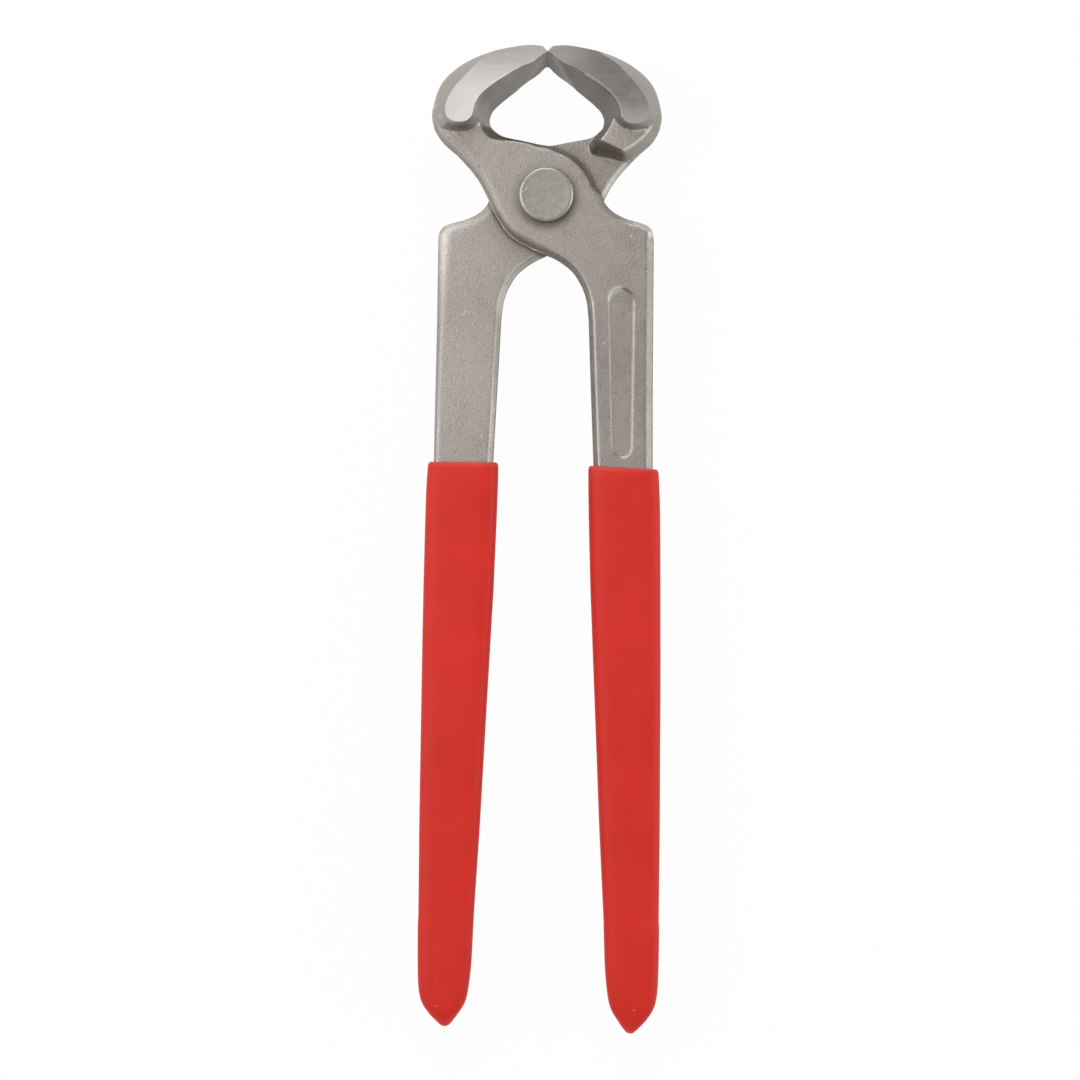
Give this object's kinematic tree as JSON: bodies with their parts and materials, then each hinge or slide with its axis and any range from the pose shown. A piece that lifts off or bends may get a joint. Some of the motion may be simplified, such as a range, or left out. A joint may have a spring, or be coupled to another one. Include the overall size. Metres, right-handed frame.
{
  "type": "end cutting nippers",
  "caption": "Forged steel pincers for cutting wire and pulling nails: crossed levers on a riveted lap joint, broad jaws that meet end on, and red dipped plastic grips.",
  "frame": {"origin": "middle of the closed tool's outline, on the plane of the jaws' back faces that it rests on", "axes": "+Y along the tool towards the jaws, +X across the handles towards the front lever's handle, +Z along the rivet towards its front head"},
  "size_m": [0.0618, 0.2514, 0.025],
  "materials": {
    "forged_steel": "satin, blasted forging with ground jaw faces",
    "rivet_steel": "satin",
    "grip_plastic": "satin, dipped soft plastic"
  },
  "bodies": {
    "rear_half": {"rear_lever": "forged_steel", "pivot_rivet": "rivet_steel", "left_grip": "grip_plastic"},
    "front_half": {"front_lever": "forged_steel", "right_grip": "grip_plastic"}
  },
  "joints": [
    {"name": "pivot_hinge", "type": "hinge", "parent": "rear_half", "child": "front_half", "pos_m": [0, 0.0879, 0.0125], "axis": [0, 0, 1], "range_deg": [0, 38]}
  ]
}
